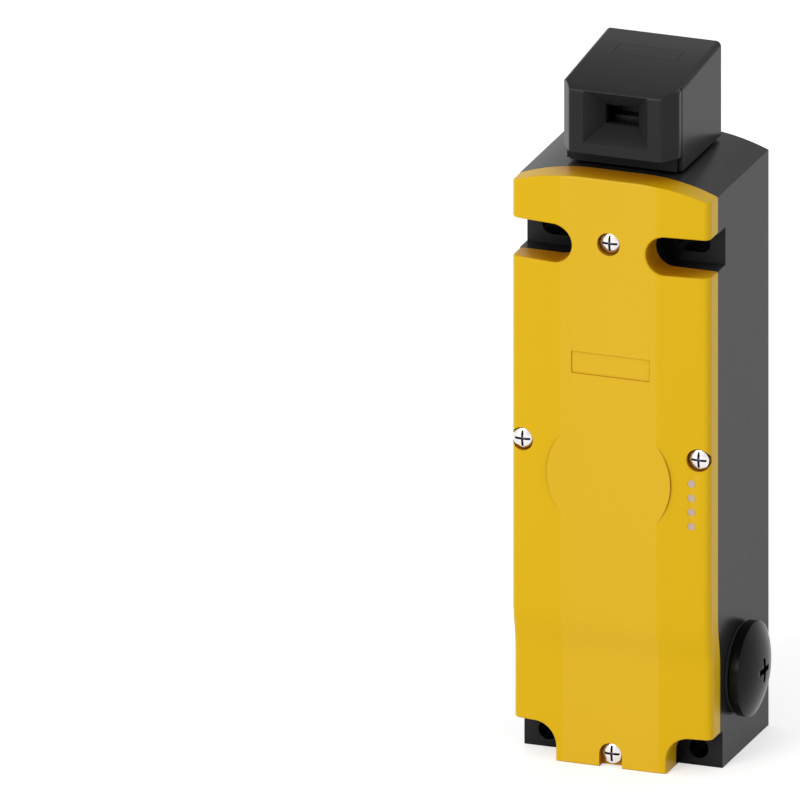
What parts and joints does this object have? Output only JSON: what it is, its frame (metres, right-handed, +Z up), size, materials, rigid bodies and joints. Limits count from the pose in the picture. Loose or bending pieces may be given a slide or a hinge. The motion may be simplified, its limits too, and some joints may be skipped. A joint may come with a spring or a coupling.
{
  "type": "safety interlock switch",
  "caption": "Tall safety interlock switch: black housing, yellow folded front cover, turnable head with a funnel for a separate key actuator, solenoid lock inside.",
  "frame": {"origin": "on the rear mounting face, midway between the two lower mounting holes", "axes": "+X right seen from the front, +Y back into the mounting surface, +Z up towards the head"},
  "size_m": [0.0607, 0.0461, 0.1863],
  "materials": {
    "housing_black": "fine moulded grain",
    "head_black": "fine moulded grain",
    "cover_yellow": "satin moulded plastic",
    "plug_black": "smooth moulded plastic",
    "seal_rubber": "soft matt",
    "screw_nickel": "bright nickel plate",
    "lamp_clear": "clear polished ends",
    "cam_grey": "sintered steel",
    "steel": "zinc plated",
    "inner_grey": "moulded plastic",
    "contact_brass": "bright strip",
    "winding_tape": "wound copper wire under clear tape",
    "board_green": "solder resist",
    "diode_white": "moulded"
  },
  "bodies": {
    "enclosure": {"base_housing": "housing_black", "cover_gasket": "seal_rubber", "right_plug": "plug_black", "plug_seal": "seal_rubber", "plunger_guide": "inner_grey", "plunger_spring": "steel", "contact_block": "inner_grey", "fixed_contacts": "contact_brass", "contact_screws": "steel", "block_screws": "steel", "monitor_contacts": "contact_brass", "monitor_block": "inner_grey", "pole_piece": "steel", "armature_spring": "steel", "bobbin": "inner_grey", "winding": "winding_tape", "yoke": "steel", "circuit_board": "board_green", "board_screws": "steel", "status_diodes": "diode_white", "terminal_block": "inner_grey", "terminal_clamps": "contact_brass", "terminal_screws": "steel", "earth_screw": "steel"},
    "cover": {"front_cover": "cover_yellow", "cover_screws": "screw_nickel", "light_guides": "lamp_clear"},
    "head": {"head_housing": "head_black", "head_bezel": "head_black", "head_cap": "head_black", "neck_seal": "seal_rubber", "retaining_ring": "steel", "cam_axle": "steel"},
    "cam": {"cam_wheel": "cam_grey"},
    "plunger": {"plunger": "steel", "contact_carrier": "inner_grey", "contact_bridges": "contact_brass", "lock_collar": "steel"},
    "slider": {"lock_slider": "steel", "monitor_bridge": "contact_brass"},
    "armature": {"armature": "steel", "cross_pin": "steel"}
  },
  "joints": [
    {"name": "cover_lift", "type": "slide", "parent": "enclosure", "child": "cover", "axis": [0, -1, 0], "range_m": [0, 0.04]},
    {"name": "head_turn", "type": "hinge", "parent": "enclosure", "child": "head", "pos_m": [0, -0.0202, 0.156], "axis": [0, 0, 1], "range_deg": [-180, 180]},
    {"name": "cam_turn", "type": "hinge", "parent": "head", "child": "cam", "pos_m": [0, -0.0202, 0.167], "axis": [-1, 0, 0], "range_deg": [0, 60]},
    {"name": "plunger_rise", "type": "slide", "parent": "enclosure", "child": "plunger", "axis": [0, 0, 1], "range_m": [0, 0.0035], "deforming": ["plunger_spring"]},
    {"name": "lock_slide", "type": "slide", "parent": "enclosure", "child": "slider", "axis": [1, 0, 0], "range_m": [0, 0.003]},
    {"name": "armature_rise", "type": "slide", "parent": "enclosure", "child": "armature", "axis": [0, 0, 1], "range_m": [0, 0.003], "stiffness_N_per_m": 5, "springref_m": 0.0176, "deforming": ["armature_spring"]}
  ],
  "couplings": [
    {"joint": "cam_turn", "follows": "plunger_rise", "rad_per_m": 299.19},
    {"joint": "lock_slide", "follows": "plunger_rise", "ratio": 0.85714},
    {"joint": "armature_rise", "follows": "plunger_rise", "ratio": 0.85714}
  ]
}
